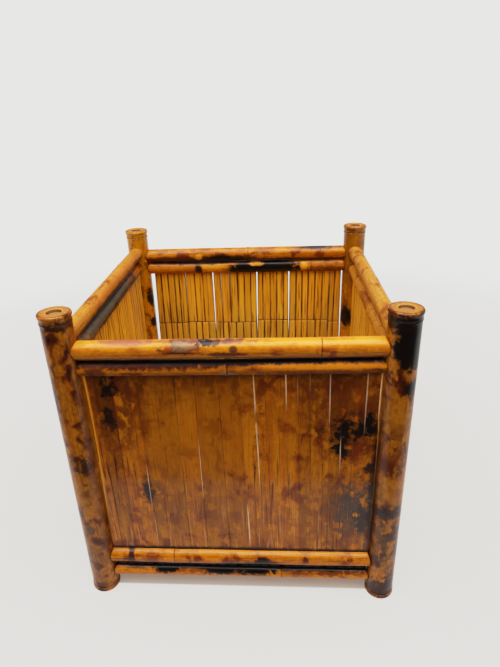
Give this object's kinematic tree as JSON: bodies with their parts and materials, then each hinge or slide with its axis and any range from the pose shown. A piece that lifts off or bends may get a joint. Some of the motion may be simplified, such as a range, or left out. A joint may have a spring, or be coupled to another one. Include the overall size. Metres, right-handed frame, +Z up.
{
  "type": "planter box",
  "caption": "Square open-topped planter box of burnt bamboo: round corner posts, twin rails, upright flattened boards and a slatted floor. Free-standing.",
  "frame": {"origin": "middle of the footprint, on the surface the planter stands on", "axes": "+Z up, -Y towards the front wall, +X to the right seen from the front"},
  "size_m": [0.3054, 0.3054, 0.305],
  "materials": {
    "post_culm": "burnt bamboo culm, mottled brown and black under gloss lacquer",
    "rail_cane": "amber bamboo cane with burnt patches, gloss lacquer",
    "wall_board": "flattened bamboo board, glossy burnt face outside, satin tan face inside",
    "floor_slat": "satin tan bamboo",
    "pin": "dark bamboo pin"
  },
  "bodies": {
    "root": {"post_front_left": "post_culm", "post_front_right": "post_culm", "post_back_left": "post_culm", "post_back_right": "post_culm", "front_rail_top_upper": "rail_cane", "front_rail_top_lower": "rail_cane", "front_rail_bottom_upper": "rail_cane", "front_rail_bottom_lower": "rail_cane", "back_rail_top_upper": "rail_cane", "back_rail_top_lower": "rail_cane", "back_rail_bottom_upper": "rail_cane", "back_rail_bottom_lower": "rail_cane", "left_rail_top_upper": "rail_cane", "left_rail_top_lower": "rail_cane", "left_rail_bottom_upper": "rail_cane", "left_rail_bottom_lower": "rail_cane", "right_rail_top_upper": "rail_cane", "right_rail_top_lower": "rail_cane", "right_rail_bottom_upper": "rail_cane", "right_rail_bottom_lower": "rail_cane", "front_board_1": "wall_board", "front_board_2": "wall_board", "front_board_3": "wall_board", "front_board_4": "wall_board", "front_board_5": "wall_board", "back_board_1": "wall_board", "back_board_2": "wall_board", "back_board_3": "wall_board", "back_board_4": "wall_board", "back_board_5": "wall_board", "back_board_6": "wall_board", "left_board_1": "wall_board", "left_board_2": "wall_board", "left_board_3": "wall_board", "left_board_4": "wall_board", "left_board_5": "wall_board", "right_board_1": "wall_board", "right_board_2": "wall_board", "right_board_3": "wall_board", "right_board_4": "wall_board", "right_board_5": "wall_board", "floor_board_1": "floor_slat", "floor_board_2": "floor_slat", "floor_board_3": "floor_slat", "floor_board_4": "floor_slat", "floor_board_5": "floor_slat", "floor_board_6": "floor_slat", "floor_bearer_front": "floor_slat", "floor_bearer_back": "floor_slat", "pin_front_left_top_lower": "pin", "pin_front_left_bottom_lower": "pin", "pin_front_right_top_lower": "pin", "pin_front_right_bottom_lower": "pin", "pin_back_left_top_lower": "pin", "pin_back_left_bottom_lower": "pin", "pin_back_right_top_lower": "pin", "pin_back_right_bottom_lower": "pin"}
  },
  "joints": []
}
